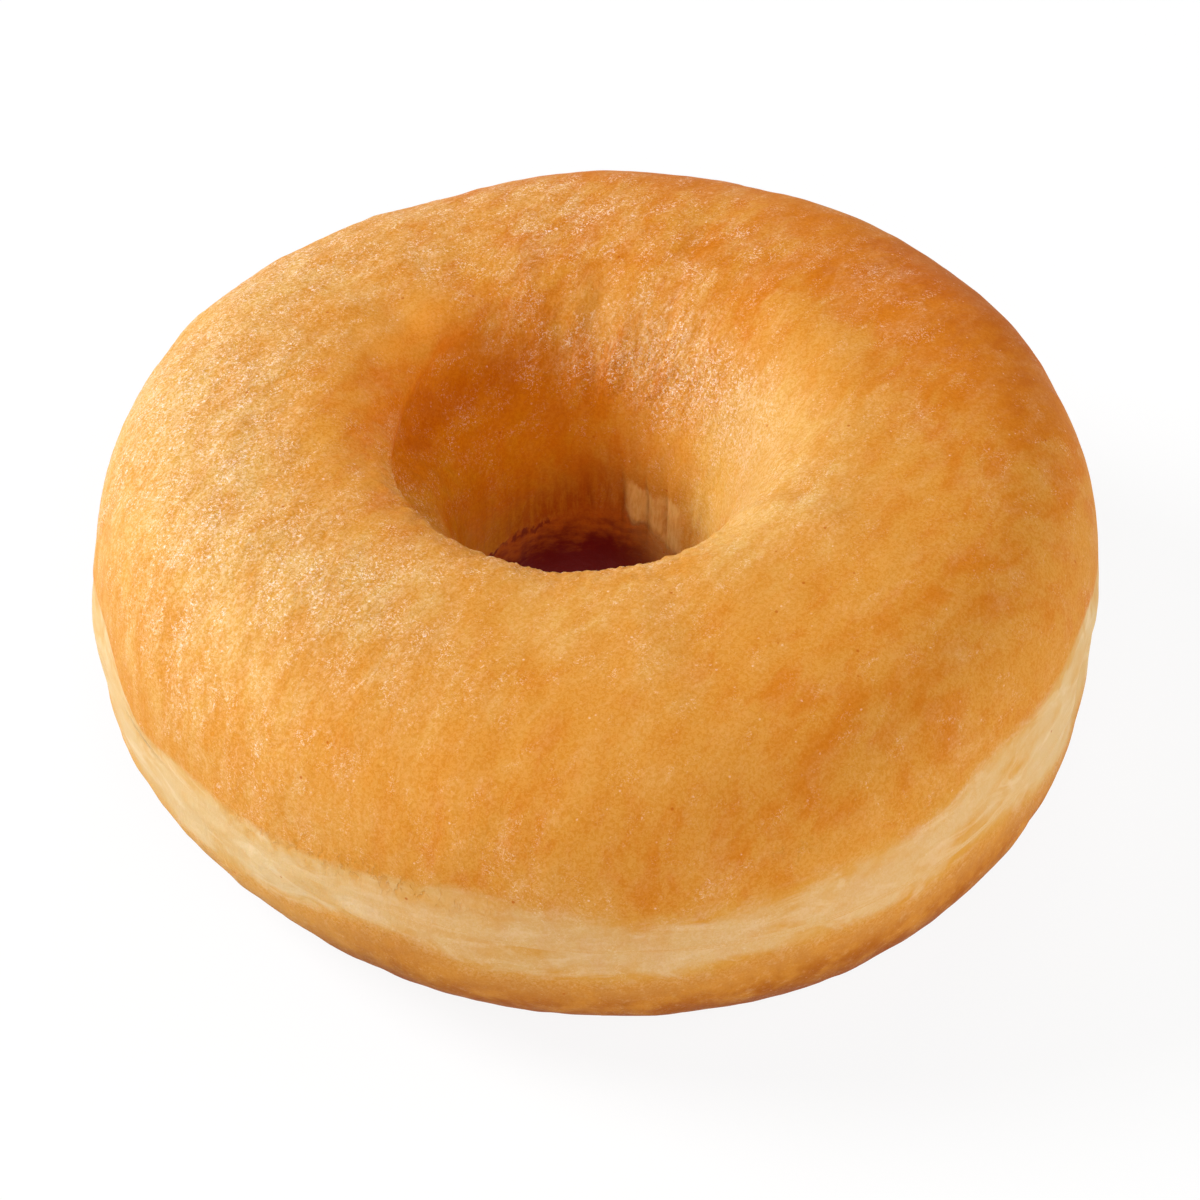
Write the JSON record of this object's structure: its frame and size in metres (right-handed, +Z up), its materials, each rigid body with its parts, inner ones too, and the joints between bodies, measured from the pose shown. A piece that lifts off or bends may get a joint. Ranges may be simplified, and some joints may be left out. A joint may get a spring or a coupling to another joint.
{
  "type": "ring doughnut",
  "caption": "Plain raised ring doughnut: uneven round dough ring with a funnel-shaped hole, golden fried crusts and a pale soft line round its side.",
  "frame": {"origin": "centre of the bounding box on the plane that the doughnut rests on", "axes": "+Z up through the hole, -Y towards the picture's viewer, +X to the viewer's right"},
  "size_m": [0.0912, 0.0906, 0.039],
  "materials": {
    "fried_crust": "satin golden-brown fried crust with fine pale blisters, a cream soft line round the side and a darker sole"
  },
  "bodies": {
    "root": {"doughnut": "fried_crust"}
  },
  "joints": []
}
